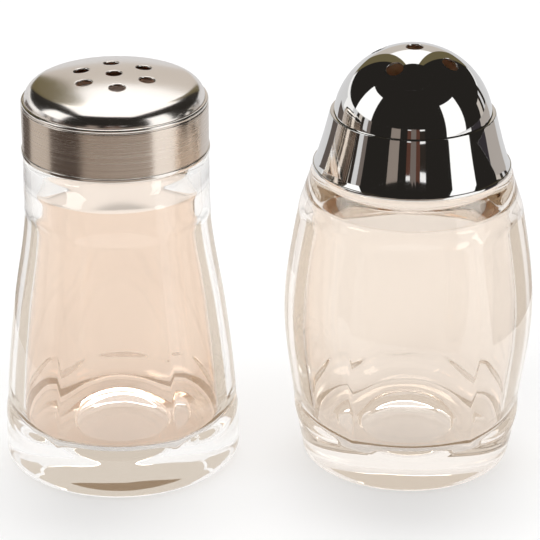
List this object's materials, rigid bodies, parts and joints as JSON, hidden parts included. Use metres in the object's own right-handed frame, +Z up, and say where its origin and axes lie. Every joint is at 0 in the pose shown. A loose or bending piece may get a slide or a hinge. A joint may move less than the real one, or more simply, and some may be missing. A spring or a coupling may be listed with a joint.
{
  "type": "spice shaker pair",
  "caption": "Pair of panelled glass table shakers, one flared with a low perforated steel cap and one barrel shaped with a perforated domed cap; both caps unscrew.",
  "frame": {"origin": "on the table, at the bottom centre of the box round both shakers", "axes": "+Z up along both jars; +X from the flared shaker to the barrel shaker; -Y towards the pictured front"},
  "size_m": [0.1277, 0.057, 0.1034],
  "materials": {
    "clear_glass": "clear pressed glass with a polished surface",
    "brushed_cap": "stainless sheet, polished crown and lips, brushed round the band",
    "polished_cap": "mirror polished domed sheet",
    "insert_plastic": "moulded translucent white plastic",
    "seal_rubber": "soft pale washer"
  },
  "bodies": {
    "flared_jar": {"flared_jar": "clear_glass"},
    "flat_seal": {"flat_cap_seal": "seal_rubber"},
    "flat_cap": {"flat_cap_shell": "brushed_cap", "flat_cap_insert": "insert_plastic"},
    "barrel_jar": {"barrel_jar": "clear_glass"},
    "dome_seal": {"dome_cap_seal": "seal_rubber"},
    "dome_cap": {"dome_cap_shell": "polished_cap", "dome_cap_insert": "insert_plastic"}
  },
  "joints": [
    {"name": "flat_cap_rise", "type": "slide", "parent": "flared_jar", "child": "flat_seal", "axis": [0, 0, 1], "range_m": [0, 0.0054]},
    {"name": "flat_cap_turn", "type": "hinge", "parent": "flat_seal", "child": "flat_cap", "pos_m": [-0.03545, 0, 0.0884], "axis": [0, 0, 1], "range_deg": [0, 480]},
    {"name": "barrel_shaker_lift", "type": "slide", "parent": "flared_jar", "child": "barrel_jar", "axis": [0, 0, 1], "range_m": [0, 0.12]},
    {"name": "dome_cap_rise", "type": "slide", "parent": "barrel_jar", "child": "dome_seal", "axis": [0, 0, 1], "range_m": [0, 0.0054]},
    {"name": "dome_cap_turn", "type": "hinge", "parent": "dome_seal", "child": "dome_cap", "pos_m": [0.03385, 0, 0.0848], "axis": [0, 0, 1], "range_deg": [0, 480]}
  ],
  "couplings": [
    {"joint": "flat_cap_rise", "follows": "flat_cap_turn", "m_per_rad": 0.00063662},
    {"joint": "dome_cap_rise", "follows": "dome_cap_turn", "m_per_rad": 0.00063662}
  ]
}
